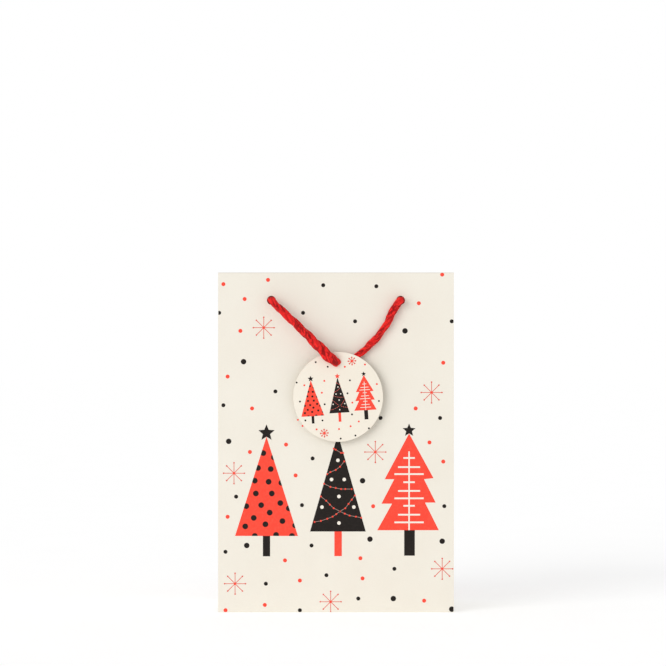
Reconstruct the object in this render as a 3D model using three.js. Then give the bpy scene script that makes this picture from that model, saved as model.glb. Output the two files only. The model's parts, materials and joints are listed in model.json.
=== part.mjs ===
// A small paper gift bag standing open: one printed sheet creased into a front, a back, two pleated
// side gussets and a glued block bottom, with card stiffeners, two knotted cord handles and a round tag.
// Millimetres, +Z up, front panel facing -Y, origin at the middle of the underside.

import * as THREE from 'three';

// Driving dimensions of the bag.
const WIDTH = 111;
const DEPTH = 60;
const HEIGHT = 160;
const PAPER = 0.3;
const LAYER_GAP = 0.05;
const CREASE_GAP = 0.15;

// Turned-down hem and the card strip inside it.
const HEM_HEIGHT = 38;
const TOP_CARD_THICKNESS = 0.5;
const TOP_CARD_HEIGHT = 34;
const FRONT_HEM_INSET = 4.5;
const GUSSET_HEM_INSET = 5.5;

// Handle cords, the holes that they pass through and the knots that stop them.
const CORD_RADIUS = 1.7;
const HOLE_RADIUS = 2.1;
const HOLE_X = 30.4;
const HOLE_Z = 146.9;
const STUB_LENGTH = 0.1;
const KNOT_RADIUS = 4.1;
const KNOT_HEIGHT = 4.5;
const KNOT_FIRST_ANGLE = -0.3 * Math.PI;
const KNOT_SWEEP = 0.8 * Math.PI;
const KNOT_STEPS = 6;
const KNOT_SEGMENTS = 24;

// Block bottom.
const BASE_THICKNESS = 1.65;
const BASE_CLEARANCE = 0.15;
const BASE_HALF_WIDTH = WIDTH / 2 - 0.9;
const BASE_FRONT = 0.6;
const BASE_BACK = DEPTH - 1.7;
const BASE_CARD_THICKNESS = 0.6;
const BASE_CARD_EDGE = 0.6;
const FLAP_REACH = 41;
const LONG_FLAP_MITRE = 27;
const SIDE_FLAP_CLEARANCE = 2;

// Glued strip along the sheet's free edge.
const GLUE_FLAP_WIDTH = 11;
const GLUE_FLAP_FROM_CORNER = 3;

// Round tag hanging on the front cord.
const TAG_RADIUS = 21.1;
const TAG_THICKNESS = 0.5;
const TAG_HOLE_RADIUS = 2.4;
const TAG_HOLE_TO_CENTRE = 16.4;
const TAG_TILT = THREE.MathUtils.degToRad(3.5);
const TAG_STANDOFF = 4.0;
const TAG_HOLE_Z = 117.9;

// Routes of the two cords: x, distance out from the panel's outer face, z.
const FRONT_CORD_ROUTE = [
  [-30.4, 4.0, 146.9],
  [-29.7, 5.1, 146.3],
  [-28.8, 5.8, 145.3],
  [-27.7, 6.1, 144.2],
  [-24.8, 6.1, 141.4],
  [-21.4, 6.1, 138.2],
  [-18.0, 6.1, 135.0],
  [-14.6, 6.1, 131.7],
  [-11.3, 6.1, 128.4],
  [-8.2, 6.1, 125.3],
  [-5.3, 6.1, 122.4],
  [-2.8, 6.1, 119.9],
  [-1.2, 5.5, 118.6],
  [0, 4.0, 117.9],
  [1.3, 2.5, 117.5],
  [3.2, 1.9, 117.3],
  [5.0, 1.9, 117.5],
  [6.8, 1.9, 118.2],
  [8.6, 1.9, 119.5],
  [10.4, 1.9, 121.0],
  [12.6, 1.9, 122.9],
  [15.3, 1.9, 125.3],
  [18.2, 1.9, 128.2],
  [21.2, 1.9, 131.8],
  [23.6, 1.9, 135.3],
  [25.6, 1.9, 139.3],
  [26.9, 1.9, 142.1],
  [28.0, 1.9, 144.0],
  [28.9, 2.2, 145.2],
  [29.7, 2.9, 146.2],
  [30.4, 4.0, 146.9],
];
const BACK_CORD_ROUTE = [
  [-30.4, 4.0, 146.9],
  [-29.9, 4.4, 144.7],
  [-28.9, 4.5, 141.4],
  [-27.4, 4.2, 137.7],
  [-25.3, 3.7, 133.8],
  [-22.7, 3.3, 130.2],
  [-19.4, 3.0, 126.8],
  [-15.6, 2.8, 123.8],
  [-11.1, 2.6, 121.3],
  [-5.7, 2.5, 119.6],
  [0, 2.5, 119.0],
  [5.7, 2.5, 119.6],
  [11.1, 2.6, 121.3],
  [15.6, 2.8, 123.8],
  [19.4, 3.0, 126.8],
  [22.7, 3.3, 130.2],
  [25.3, 3.7, 133.8],
  [27.4, 4.2, 137.7],
  [28.9, 4.5, 141.4],
  [29.9, 4.4, 144.7],
  [30.4, 4.0, 146.9],
];
const CORD_SIDES = 8;
const CORD_STEPS = 72;
const PUNCHED_HOLE_SEGMENTS = 12;
const TAG_SEGMENTS = 32;

const bag = new THREE.Group();

const printedPaper = new THREE.MeshStandardMaterial({ color: '#f2ecdf', roughness: 0.75, metalness: 0 });
const stiffCard = new THREE.MeshStandardMaterial({ color: '#b9ab96', roughness: 0.95, metalness: 0 });
const tagCard = new THREE.MeshStandardMaterial({ color: '#f4eee2', roughness: 0.7, metalness: 0 });
const redRope = new THREE.MeshStandardMaterial({ color: '#d92a2c', roughness: 0.8, metalness: 0 });

function addPiece(name, geometry, material) {
  const piece = new THREE.Mesh(geometry, material);
  piece.name = name;
  bag.add(piece);
  return piece;
}

function slab(xLow, xHigh, yLow, yHigh, zLow, zHigh) {
  const geometry = new THREE.BoxGeometry(xHigh - xLow, yHigh - yLow, zHigh - zLow);
  geometry.translate((xLow + xHigh) / 2, (yLow + yHigh) / 2, (zLow + zHigh) / 2);
  return geometry;
}

// An upright sheet across the bag's width, with the two cord holes punched through it.
function punchedSheet(halfWidth, zLow, zHigh, thickness) {
  const outline = new THREE.Shape();
  outline.moveTo(-halfWidth, zLow);
  outline.lineTo(halfWidth, zLow);
  outline.lineTo(halfWidth, zHigh);
  outline.lineTo(-halfWidth, zHigh);
  outline.closePath();
  for (const side of [-1, 1]) {
    const hole = new THREE.Path();
    hole.absarc(side * HOLE_X, HOLE_Z, HOLE_RADIUS, 0, 2 * Math.PI, true);
    outline.holes.push(hole);
  }
  const geometry = new THREE.ExtrudeGeometry(outline, {
    depth: thickness,
    bevelEnabled: false,
    curveSegments: PUNCHED_HOLE_SEGMENTS,
  });
  geometry.rotateX(Math.PI / 2);
  geometry.translate(0, thickness, 0);
  return geometry;
}

// A cord end: the short stub through the hole and the rounded overhand knot behind the hem.
function cordEnd() {
  const knotFoot = PAPER + LAYER_GAP + TOP_CARD_THICKNESS + LAYER_GAP + PAPER + 2 * LAYER_GAP;
  const profile = [
    new THREE.Vector2(0, -STUB_LENGTH),
    new THREE.Vector2(CORD_RADIUS, -STUB_LENGTH),
    new THREE.Vector2(CORD_RADIUS, knotFoot),
  ];
  const lowest = Math.sin(KNOT_FIRST_ANGLE);
  for (let i = 0; i < KNOT_STEPS; i += 1) {
    const angle = KNOT_FIRST_ANGLE + (i / KNOT_STEPS) * KNOT_SWEEP;
    const rise = (Math.sin(angle) - lowest) / (1 - lowest);
    profile.push(new THREE.Vector2(KNOT_RADIUS * Math.cos(angle), knotFoot + KNOT_HEIGHT * rise));
  }
  profile.push(new THREE.Vector2(0, knotFoot + KNOT_HEIGHT));
  return new THREE.LatheGeometry(profile, KNOT_SEGMENTS);
}

// A wall panel with its card strip, turned-down hem and two cord ends, built facing -Y.
function wall(side, zLow) {
  const cardInside = PAPER + LAYER_GAP;
  const hemInside = cardInside + TOP_CARD_THICKNESS + LAYER_GAP;
  const stripHalfWidth = WIDTH / 2 - FRONT_HEM_INSET;
  const cardLow = HEIGHT - TOP_CARD_HEIGHT;
  const cardHigh = HEIGHT - PAPER;
  const layers = [
    ['panel', WIDTH / 2, zLow, HEIGHT, PAPER, 0, printedPaper],
    ['top_card', stripHalfWidth, cardLow, cardHigh, TOP_CARD_THICKNESS, cardInside, stiffCard],
    ['hem', stripHalfWidth, HEIGHT - HEM_HEIGHT, HEIGHT, PAPER, hemInside, printedPaper],
  ];
  const turn = side === 'front' ? 0 : Math.PI;
  for (const [layer, halfWidth, low, high, thickness, inside, material] of layers) {
    const geometry = punchedSheet(halfWidth, low, high, thickness);
    geometry.translate(0, inside - DEPTH / 2, 0);
    geometry.rotateZ(turn);
    addPiece(`${side}_${layer}`, geometry, material);
  }
  for (const [hand, x] of [['left', -HOLE_X], ['right', HOLE_X]]) {
    const geometry = cordEnd();
    geometry.rotateZ(turn);
    const outerFace = side === 'front' ? -DEPTH / 2 : DEPTH / 2;
    geometry.translate(x, outerFace, HOLE_Z);
    addPiece(`${side}_${hand}_knot`, geometry, redRope);
  }
}

// Half of a pleated gusset, from a corner crease to the centre crease, and its turned-down hem.
function gussetHalf(hand, half) {
  const outward = hand === 'left' ? -1 : 1;
  const along = half === 'front' ? -1 : 1;
  const zLow = BASE_THICKNESS + BASE_CLEARANCE;
  const panelCorner = DEPTH / 2 - 2 * PAPER;
  const hemCorner = DEPTH / 2 - GUSSET_HEM_INSET;
  const spans = [
    ['panel', 0, CREASE_GAP, panelCorner, zLow],
    ['hem', PAPER + LAYER_GAP, 2 * CREASE_GAP + PAPER, hemCorner, HEIGHT - HEM_HEIGHT],
  ];
  for (const [layer, inside, near, far, low] of spans) {
    const x = [outward * (WIDTH / 2 - inside), outward * (WIDTH / 2 - inside - PAPER)];
    const y = [along * near, along * far];
    const geometry = slab(Math.min(...x), Math.max(...x), Math.min(...y), Math.max(...y), low, HEIGHT);
    addPiece(`${hand}_gusset_${half}_${layer}`, geometry, printedPaper);
  }
}

// The strip along the sheet's free edge, glued inside the back half of the left gusset.
function glueFlap() {
  const inner = -(WIDTH / 2 - PAPER - LAYER_GAP);
  const edge = DEPTH / 2 - GLUE_FLAP_FROM_CORNER;
  const zLow = BASE_THICKNESS + BASE_CLEARANCE;
  const zHigh = HEIGHT - HEM_HEIGHT - LAYER_GAP;
  const geometry = slab(inner, inner + PAPER, edge - GLUE_FLAP_WIDTH, edge, zLow, zHigh);
  addPiece('side_glue_flap', geometry, printedPaper);
}

// A flat flap of the bottom, from its outline in plan.
function bottomFlap(name, corners, zLow, thickness, material) {
  const outline = new THREE.Shape(corners.map(([x, y]) => new THREE.Vector2(x, y)));
  const geometry = new THREE.ExtrudeGeometry(outline, { depth: thickness, bevelEnabled: false });
  geometry.translate(0, 0, zLow);
  addPiece(name, geometry, material);
}

// The block bottom: two mitred side flaps, two overlapping long flaps under them, a card on top.
function blockBottom() {
  const front = BASE_FRONT - DEPTH / 2;
  const back = BASE_BACK - DEPTH / 2;
  const longEnd = BASE_HALF_WIDTH - LONG_FLAP_MITRE;
  const step = PAPER + LAYER_GAP;
  const longFlap = (edge, inward) => [
    [-BASE_HALF_WIDTH, edge],
    [-longEnd, edge + inward * LONG_FLAP_MITRE],
    [-longEnd, edge + inward * FLAP_REACH],
    [longEnd, edge + inward * FLAP_REACH],
    [longEnd, edge + inward * LONG_FLAP_MITRE],
    [BASE_HALF_WIDTH, edge],
  ];
  const sideMitre = (back - front) / 2 - SIDE_FLAP_CLEARANCE;
  const sideFlap = (outward) => [
    [outward * BASE_HALF_WIDTH, front],
    [outward * (BASE_HALF_WIDTH - sideMitre), front + sideMitre],
    [outward * (BASE_HALF_WIDTH - sideMitre), back - sideMitre],
    [outward * BASE_HALF_WIDTH, back],
  ];
  bottomFlap('base_outer_flap', longFlap(front, 1), 0, PAPER, printedPaper);
  bottomFlap('base_inner_flap', longFlap(back, -1), step, PAPER, printedPaper);
  bottomFlap('base_left_flap', sideFlap(-1), 2 * step, PAPER, printedPaper);
  bottomFlap('base_right_flap', sideFlap(1), 2 * step, PAPER, printedPaper);
  const halfCard = BASE_HALF_WIDTH - BASE_CARD_EDGE;
  const cardFront = front + BASE_CARD_EDGE;
  const cardBack = back - BASE_CARD_EDGE;
  const cardLow = 3 * step;
  const card = slab(-halfCard, halfCard, cardFront, cardBack, cardLow, cardLow + BASE_CARD_THICKNESS);
  addPiece('base_card', card, stiffCard);
}

// A cord as a plain tube along its route, on the side of the bag that outward points to.
function handleCord(name, route, outward) {
  const points = route.map(([x, standoff, z]) => new THREE.Vector3(x, outward * (DEPTH / 2 + standoff), z));
  const path = new THREE.CatmullRomCurve3(points, false, 'centripetal');
  const section = new THREE.Shape();
  for (let i = 0; i < CORD_SIDES; i += 1) {
    const angle = (i / CORD_SIDES) * 2 * Math.PI;
    const corner = [CORD_RADIUS * Math.cos(angle), CORD_RADIUS * Math.sin(angle)];
    if (i === 0) section.moveTo(...corner);
    else section.lineTo(...corner);
  }
  section.closePath();
  const geometry = new THREE.ExtrudeGeometry(section, { steps: CORD_STEPS, extrudePath: path });
  addPiece(name, geometry, redRope);
}

// The tag: a card disc with a hole near its rim, hanging a little askew from the hole.
function hangingTag() {
  const disc = new THREE.Shape();
  disc.absarc(0, -TAG_HOLE_TO_CENTRE, TAG_RADIUS, 0, 2 * Math.PI, false);
  const hole = new THREE.Path();
  hole.absarc(0, 0, TAG_HOLE_RADIUS, 0, 2 * Math.PI, true);
  disc.holes.push(hole);
  const geometry = new THREE.ExtrudeGeometry(disc, {
    depth: TAG_THICKNESS,
    bevelEnabled: false,
    curveSegments: TAG_SEGMENTS,
  });
  geometry.rotateX(Math.PI / 2);
  geometry.translate(0, TAG_THICKNESS / 2, 0);
  const tag = addPiece('tag', geometry, tagCard);
  tag.rotation.y = -TAG_TILT;
  tag.position.set(0, -(DEPTH / 2 + TAG_STANDOFF), TAG_HOLE_Z);
}

wall('front', 0);
wall('back', BASE_THICKNESS + BASE_CLEARANCE);
for (const hand of ['left', 'right']) {
  for (const half of ['front', 'back']) {
    gussetHalf(hand, half);
  }
}
glueFlap();
blockBottom();
handleCord('front_handle_cord', FRONT_CORD_ROUTE, -1);
handleCord('back_handle_cord', BACK_CORD_ROUTE, 1);
hangingTag();

export default bag;
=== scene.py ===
"""A small printed paper gift bag standing open, with two knotted rope handles and a round card tag.

The CAD frame gives the sizes and the joints. Working units here are millimetres until a piece is finished.
"""

import json
import math
import random
from collections import namedtuple

import bmesh
import bpy
from mathutils import Matrix, Vector, noise


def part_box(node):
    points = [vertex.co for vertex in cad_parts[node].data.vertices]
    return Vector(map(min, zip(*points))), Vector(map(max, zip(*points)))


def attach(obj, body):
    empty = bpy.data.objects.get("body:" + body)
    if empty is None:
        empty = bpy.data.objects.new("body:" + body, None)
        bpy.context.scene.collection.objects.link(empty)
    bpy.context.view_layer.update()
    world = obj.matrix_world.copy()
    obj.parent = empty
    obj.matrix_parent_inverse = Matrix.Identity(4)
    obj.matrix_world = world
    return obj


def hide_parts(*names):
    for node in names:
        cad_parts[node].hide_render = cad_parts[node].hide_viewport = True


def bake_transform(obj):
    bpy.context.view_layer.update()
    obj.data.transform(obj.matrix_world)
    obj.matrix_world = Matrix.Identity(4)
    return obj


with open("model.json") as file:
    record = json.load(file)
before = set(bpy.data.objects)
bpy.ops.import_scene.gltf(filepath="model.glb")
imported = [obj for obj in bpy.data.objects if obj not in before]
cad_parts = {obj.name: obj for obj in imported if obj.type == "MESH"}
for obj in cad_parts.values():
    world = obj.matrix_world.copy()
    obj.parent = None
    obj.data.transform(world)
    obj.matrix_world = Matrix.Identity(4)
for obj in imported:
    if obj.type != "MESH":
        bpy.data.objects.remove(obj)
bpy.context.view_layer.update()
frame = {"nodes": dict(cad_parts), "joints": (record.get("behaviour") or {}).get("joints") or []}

MM = 0.001


def box_mm(node):
    """The two corners of a CAD node's box, in millimetres."""
    low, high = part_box(node)
    return low / MM, high / MM


def joint_mm(name):
    """Where a joint's axis passes, in millimetres."""
    joint = next(j for j in frame["joints"] if j["name"] == name)
    return Vector(joint["pos_m"]) / MM


# Sizes taken from the frame.
FRONT_LOW, FRONT_HIGH = box_mm("front_panel")
BACK_LOW = box_mm("back_panel")[0]
HALF_WIDTH = FRONT_HIGH.x
HALF_DEPTH = -FRONT_LOW.y
HEIGHT = FRONT_HIGH.z
PAPER = FRONT_HIGH.y - FRONT_LOW.y
FRONT_HEM_LOW, FRONT_HEM_HIGH = box_mm("front_hem")
GUSSET_HEM_LOW, GUSSET_HEM_HIGH = box_mm("right_gusset_back_hem")
HEM_HEIGHT = HEIGHT - FRONT_HEM_LOW.z
KNOT_LOW, KNOT_HIGH = box_mm("front_right_knot")
HOLE_X = (KNOT_LOW.x + KNOT_HIGH.x) / 2
HOLE_Z = (KNOT_LOW.z + KNOT_HIGH.z) / 2
TAG_HOLE = joint_mm("tag_turn")
BASE_LOW, BASE_HIGH = box_mm("base_outer_flap")
GLUE_LOW, GLUE_HIGH = box_mm("side_glue_flap")

# Sizes of the cord and its holes, as the frame has them.
CORD_RADIUS = 1.7
HOLE_RADIUS = 2.1
PIVOT_STANDOFF = 4.0

# Routes of the two cords: x, distance out from the panel's outer face, z.
FRONT_ROUTE = [
    (-30.4, 4.0, 146.9),
    (-29.7, 5.1, 146.3),
    (-28.8, 5.8, 145.3),
    (-27.7, 6.1, 144.2),
    (-24.8, 6.1, 141.4),
    (-21.4, 6.1, 138.2),
    (-18.0, 6.1, 135.0),
    (-14.6, 6.1, 131.7),
    (-11.3, 6.1, 128.4),
    (-8.2, 6.1, 125.3),
    (-5.3, 6.1, 122.4),
    (-2.8, 6.1, 119.9),
    (-1.2, 5.5, 118.6),
    (0, 4.0, 117.9),
    (1.3, 2.5, 117.5),
    (3.2, 1.9, 117.3),
    (5.0, 1.9, 117.5),
    (6.8, 1.9, 118.2),
    (8.6, 1.9, 119.5),
    (10.4, 1.9, 121.0),
    (12.6, 1.9, 122.9),
    (15.3, 1.9, 125.3),
    (18.2, 1.9, 128.2),
    (21.2, 1.9, 131.8),
    (23.6, 1.9, 135.3),
    (25.6, 1.9, 139.3),
    (26.9, 1.9, 142.1),
    (28.0, 1.9, 144.0),
    (28.9, 2.2, 145.2),
    (29.7, 2.9, 146.2),
    (30.4, 4.0, 146.9),
]
BACK_HALF_ROUTE = [
    (-30.4, 4.0, 146.9),
    (-29.9, 4.4, 144.7),
    (-28.9, 4.5, 141.4),
    (-27.4, 4.2, 137.7),
    (-25.3, 3.7, 133.8),
    (-22.7, 3.3, 130.2),
    (-19.4, 3.0, 126.8),
    (-15.6, 2.8, 123.8),
    (-11.1, 2.6, 121.3),
    (-5.7, 2.5, 119.6),
]
BACK_OTHER_HALF = [(-x, out, z) for x, out, z in reversed(BACK_HALF_ROUTE)]
BACK_ROUTE = [*BACK_HALF_ROUTE, (0, 2.5, 119.0), *BACK_OTHER_HALF]

# ---------------------------------------------------------------- materials


def linear(hex_colour):
    """An sRGB hex colour as linear red, green, blue and alpha."""
    channels = [int(hex_colour[i:i + 2], 16) / 255 for i in (1, 3, 5)]
    return (*[c / 12.92 if c <= 0.04045 else ((c + 0.055) / 1.055) ** 2.4 for c in channels], 1)


def add_node(tree, kind, settings=None, links=None):
    """Adds a node, sets its properties and input values, and links its inputs."""
    made = tree.nodes.new(kind)
    for key, value in (settings or {}).items():
        if isinstance(key, str) and hasattr(made, key):
            setattr(made, key, value)
        else:
            made.inputs[key].default_value = value
    for key, source in (links or {}).items():
        tree.links.new(source, made.inputs[key])
    return made


def start_material(name, settings):
    """A new material with the shader's own sockets set. Gives the material, its tree and its shader."""
    material = bpy.data.materials.new(name)
    material.use_nodes = True
    shader = material.node_tree.nodes["Principled BSDF"]
    for key, value in settings.items():
        shader.inputs[key].default_value = value
    return material, material.node_tree, shader


def per_mm(size):
    """The texture scale that makes a feature of that many millimetres on Object coordinates in metres."""
    return 1 / (size * MM)


CLOUD_SIZE = 22
FIBRE_SHARE = 0.45
FLECK_SPACING = 1.6
MOTTLE_SIZE = 1.1
INK_RELIEF = 0.01


def fibrous_stock(name, light, dark, roughness, fibre_mm, bump_mm, flecks=None):
    """Paper or board: cloudy formation, fine fibres that lift the surface, and flecks if it is recycled."""
    material, tree, shader = start_material(name, {"Roughness": roughness, "Specular IOR Level": 0.3})
    place = add_node(tree, "ShaderNodeTexCoord").outputs["Object"]
    cloud = add_node(
        tree, "ShaderNodeTexNoise", {"Scale": per_mm(CLOUD_SIZE), "Detail": 3.0}, {"Vector": place}
    ).outputs["Fac"]
    fibre = add_node(
        tree, "ShaderNodeTexNoise", {"Scale": per_mm(fibre_mm), "Detail": 6.0, "Roughness": 0.7},
        {"Vector": place},
    ).outputs["Fac"]
    both = add_node(
        tree, "ShaderNodeMix", {"data_type": "FLOAT", 0: FIBRE_SHARE}, {2: cloud, 3: fibre}
    ).outputs[0]
    spread = add_node(
        tree, "ShaderNodeMapRange", {"From Min": 0.35, "From Max": 0.65}, {"Value": both}
    ).outputs["Result"]
    colour = add_node(
        tree, "ShaderNodeMix", {"data_type": "RGBA", 6: linear(light), 7: linear(dark)}, {0: spread}
    ).outputs[2]
    if flecks:
        cells = add_node(
            tree, "ShaderNodeTexVoronoi", {"Scale": per_mm(FLECK_SPACING), "Randomness": 1.0},
            {"Vector": place},
        ).outputs["Distance"]
        spots = add_node(
            tree, "ShaderNodeMapRange", {"From Min": 0.16, "From Max": 0.1}, {"Value": cells}
        ).outputs["Result"]
        colour = add_node(
            tree, "ShaderNodeMix", {"data_type": "RGBA", 7: linear(flecks)}, {0: spots, 6: colour}
        ).outputs[2]
    bump = add_node(
        tree, "ShaderNodeBump", {"Strength": 0.5, "Distance": bump_mm * MM}, {"Height": fibre}
    )
    tree.links.new(colour, shader.inputs["Base Color"])
    tree.links.new(bump.outputs["Normal"], shader.inputs["Normal"])
    return material


def offset_ink(name, full, thin):
    """Offset printing ink on paper: even, with faint mottle where the paper drinks it unequally."""
    material, tree, shader = start_material(name, {"Roughness": 0.6, "Specular IOR Level": 0.15})
    place = add_node(tree, "ShaderNodeTexCoord").outputs["Object"]
    mottle = add_node(
        tree, "ShaderNodeTexNoise", {"Scale": per_mm(MOTTLE_SIZE), "Detail": 5.0}, {"Vector": place}
    ).outputs["Fac"]
    spread = add_node(
        tree, "ShaderNodeMapRange", {"From Min": 0.45, "From Max": 0.8}, {"Value": mottle}
    ).outputs["Result"]
    colour = add_node(
        tree, "ShaderNodeMix", {"data_type": "RGBA", 6: linear(full), 7: linear(thin)}, {0: spread}
    ).outputs[2]
    bump = add_node(
        tree, "ShaderNodeBump", {"Strength": 0.3, "Distance": INK_RELIEF * MM}, {"Height": mottle}
    )
    tree.links.new(colour, shader.inputs["Base Color"])
    tree.links.new(bump.outputs["Normal"], shader.inputs["Normal"])
    return material


# The rope's texture runs on its UV map, in millimetres. A wave texture repeats every WAVE_REPEAT over its
# scale. Such a rope's yarns are about 0.35 mm wide, and are drawn wider so that they show.
WAVE_REPEAT = 0.314
YARN_WIDTH = 0.8
YARN_SLANT = math.radians(28)
FUZZ_PER_MM = 0.85
PATCHES_PER_MM = 0.16
ROPE_RELIEF = 0.35
ROPE_RED = "#fb2c28"
ROPE_DEEP_RED = "#981416"


def twisted_cotton_rope():
    """Dyed soft rope: fuzzy yarns lie slantwise in each strand, with painted shade in the grooves between
    the strands and darker red in random patches and flecks.
    """
    material, tree, shader = start_material(
        "twisted_cotton_rope",
        {"Roughness": 0.9, "Specular IOR Level": 0.15, "Sheen Weight": 0.04, "Sheen Roughness": 0.5},
    )
    place = add_node(tree, "ShaderNodeTexCoord").outputs["UV"]
    slanted = add_node(
        tree, "ShaderNodeMapping", {"Rotation": (0, 0, YARN_SLANT)}, {"Vector": place}
    ).outputs["Vector"]
    yarns = add_node(
        tree, "ShaderNodeTexWave",
        {"Scale": WAVE_REPEAT / YARN_WIDTH, "Distortion": 1.6, "Detail": 2.0, "Detail Scale": 1.5},
        {"Vector": slanted},
    ).outputs["Fac"]
    stretched = add_node(
        tree, "ShaderNodeMapping", {"Rotation": (0, 0, YARN_SLANT), "Scale": (1.0, 0.45, 1.0)},
        {"Vector": place},
    ).outputs["Vector"]
    fuzz = add_node(
        tree, "ShaderNodeTexNoise", {"Scale": FUZZ_PER_MM, "Detail": 5.0, "Roughness": 0.7},
        {"Vector": stretched},
    ).outputs["Fac"]
    groove_shade = add_node(tree, "ShaderNodeAttribute", {"attribute_name": "groove_shade"}).outputs["Fac"]
    patches = add_node(
        tree, "ShaderNodeTexNoise", {"Scale": PATCHES_PER_MM, "Detail": 1.0}, {"Vector": place}
    ).outputs["Fac"]
    patch_share = add_node(
        tree, "ShaderNodeMapRange",
        {"From Min": 0.4, "From Max": 0.55, "To Min": 0.35, "To Max": 1.0}, {"Value": patches},
    ).outputs["Result"]
    fleck_share = add_node(
        tree, "ShaderNodeMapRange", {"From Min": 0.44, "From Max": 0.56}, {"Value": fuzz}
    ).outputs["Result"]
    flecks = add_node(
        tree, "ShaderNodeMath", {"operation": "MULTIPLY"}, {0: patch_share, 1: fleck_share}
    ).outputs[0]
    # Painted shade in the grooves between the strands, plus darker flecks in random patches.
    shade_and_fleck_share = add_node(
        tree, "ShaderNodeMath", {"operation": "MULTIPLY_ADD", 1: 0.4, "use_clamp": True},
        {0: groove_shade, 2: flecks},
    ).outputs[0]
    colour = add_node(
        tree, "ShaderNodeMix", {"data_type": "RGBA", 6: linear(ROPE_RED), 7: linear(ROPE_DEEP_RED)},
        {0: shade_and_fleck_share},
    ).outputs[2]
    height = add_node(
        tree, "ShaderNodeMix", {"data_type": "FLOAT", 0: 0.4}, {2: yarns, 3: fuzz}
    ).outputs[0]
    bump = add_node(
        tree, "ShaderNodeBump", {"Strength": 0.8, "Distance": ROPE_RELIEF * MM}, {"Height": height}
    )
    tree.links.new(colour, shader.inputs["Base Color"])
    tree.links.new(bump.outputs["Normal"], shader.inputs["Normal"])
    return material


# Matt coated paper, printed cream all over: smooth, with a faint cloudiness.
CREAM_PAPER = fibrous_stock("matt_coated_cream_paper", "#ebe6da", "#e8e2d5", 0.6, 0.7, 0.02)
# The unprinted side of the same paper: whiter and more open.
BARE_PAPER = fibrous_stock("uncoated_white_paper", "#e9e7e2", "#dfdcd5", 0.8, 0.5, 0.04)
# Recycled greyboard, as strips in the hem and the loose base card: dull, brown-grey, flecked.
GREYBOARD = fibrous_stock("recycled_greyboard", "#a89c8a", "#94887a", 0.9, 0.9, 0.08, "#6f665b")
# Uncoated card of the tag: a warmer, slightly toothier cream than the bag.
TAG_STOCK = fibrous_stock("uncoated_cream_card", "#efe8da", "#eae2d2", 0.7, 0.5, 0.03)
# Warm poster-red printing ink: flat, matt and even.
RED_INK = offset_ink("red_offset_ink", "#f54a38", "#f35644")
# The red of the hairlines in the snowflakes: duller, because so thin a line spreads into the paper.
DEEP_RED_INK = offset_ink("deep_red_offset_ink", "#dc5546", "#e06353")
# Warm black ink: matt, and never quite black on cream paper.
BLACK_INK = offset_ink("black_offset_ink", "#1f1a17", "#27211e")
# Paper left bare inside the trees: as matt as the ink around it.
WHITE_INK = offset_ink("paper_white_in_print", "#f0e9dd", "#ebe3d6")
# Brownish pink ink of the garland strings: soft against the black.
PINK_INK = offset_ink("pink_offset_ink", "#a2837a", "#b09086")
# Soft three-strand cotton rope, dyed red: matt and fuzzy, with deep red flecks and painted shade in its
# grooves.
ROPE = twisted_cotton_rope()

# The inks in the order that a print's faces count them.
INKS = [RED_INK, BLACK_INK, WHITE_INK, PINK_INK, DEEP_RED_INK]
RED, BLACK, WHITE, PINK, DEEP_RED = range(5)

# ---------------------------------------------------------------- camera, light and floor

VIEW_WIDTH = 313.5
VIEW_CENTRE_X = -1.4
VIEW_CENTRE_Z = 131.5
CAMERA_DISTANCE = 1300.0
SENSOR = 36.0
KEY_STRENGTH = 1.2
KEY_SPREAD = math.radians(40)
KEY_DIRECTION = Vector((0.6, 0.74, -0.27))
SURROUND_LIGHT = 0.65
FLOOR_GLOW = 0.28
FLOOR_RADIUS = 6000
FLOOR_GRAIN = 40


def set_camera():
    """A level, straight-on view of the front, from far enough back to look nearly flat."""
    data = bpy.data.cameras.new("camera")
    data.sensor_width = SENSOR
    data.lens = SENSOR * CAMERA_DISTANCE / VIEW_WIDTH
    camera = bpy.data.objects.new("camera", data)
    bpy.context.scene.collection.objects.link(camera)
    camera.location = Vector((VIEW_CENTRE_X, -HALF_DEPTH - CAMERA_DISTANCE, VIEW_CENTRE_Z)) * MM
    camera.rotation_euler = (math.pi / 2, 0, 0)
    bpy.context.scene.camera = camera


def set_key_light():
    """One large soft light, far off to the left of the front and a little above it."""
    data = bpy.data.lights.new("key_light", "SUN")
    data.energy = KEY_STRENGTH
    data.angle = KEY_SPREAD
    light = bpy.data.objects.new("key_light", data)
    bpy.context.scene.collection.objects.link(light)
    light.rotation_euler = KEY_DIRECTION.to_track_quat("-Z", "Y").to_euler()


def set_surround():
    """An even surround that is seen as white and lights the bag a little less than that."""
    world = bpy.data.worlds.new("white_surround")
    world.use_nodes = True
    tree = world.node_tree
    seen = add_node(tree, "ShaderNodeLightPath").outputs["Is Camera Ray"]
    strength = add_node(
        tree, "ShaderNodeMapRange", {"To Min": SURROUND_LIGHT, "To Max": 1.0}, {"Value": seen}
    ).outputs["Result"]
    background = tree.nodes["Background"]
    background.inputs["Color"].default_value = (1, 1, 1, 1)
    tree.links.new(strength, background.inputs["Strength"])
    bpy.context.scene.world = world


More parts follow.
